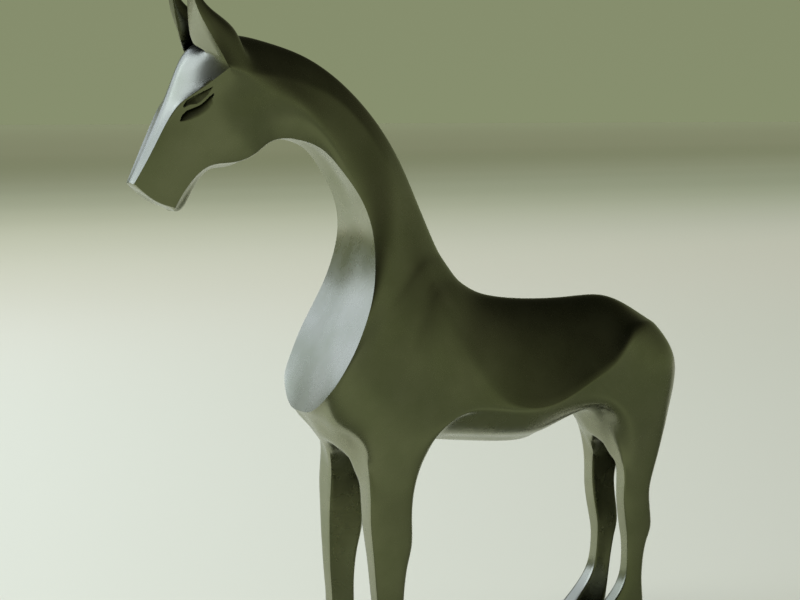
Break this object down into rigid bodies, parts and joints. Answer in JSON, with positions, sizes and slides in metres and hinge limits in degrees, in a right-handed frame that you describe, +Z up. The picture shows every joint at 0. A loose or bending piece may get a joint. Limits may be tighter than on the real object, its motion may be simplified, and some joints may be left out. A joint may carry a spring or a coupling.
{
  "type": "standing horse figure",
  "caption": "Standing horse figure with a long arched neck, upright ears and smooth faceted planes, cast as one piece that stands on its hooves.",
  "frame": {"origin": "centre of the bounding box, on the ground under the hooves", "axes": "+Z up, the horse faces -X, its left side towards -Y"},
  "size_m": [0.2618, 0.0522, 0.2998],
  "materials": {
    "patina": "satin dark olive patina"
  },
  "bodies": {
    "root": {"horse": "patina"}
  },
  "joints": []
}
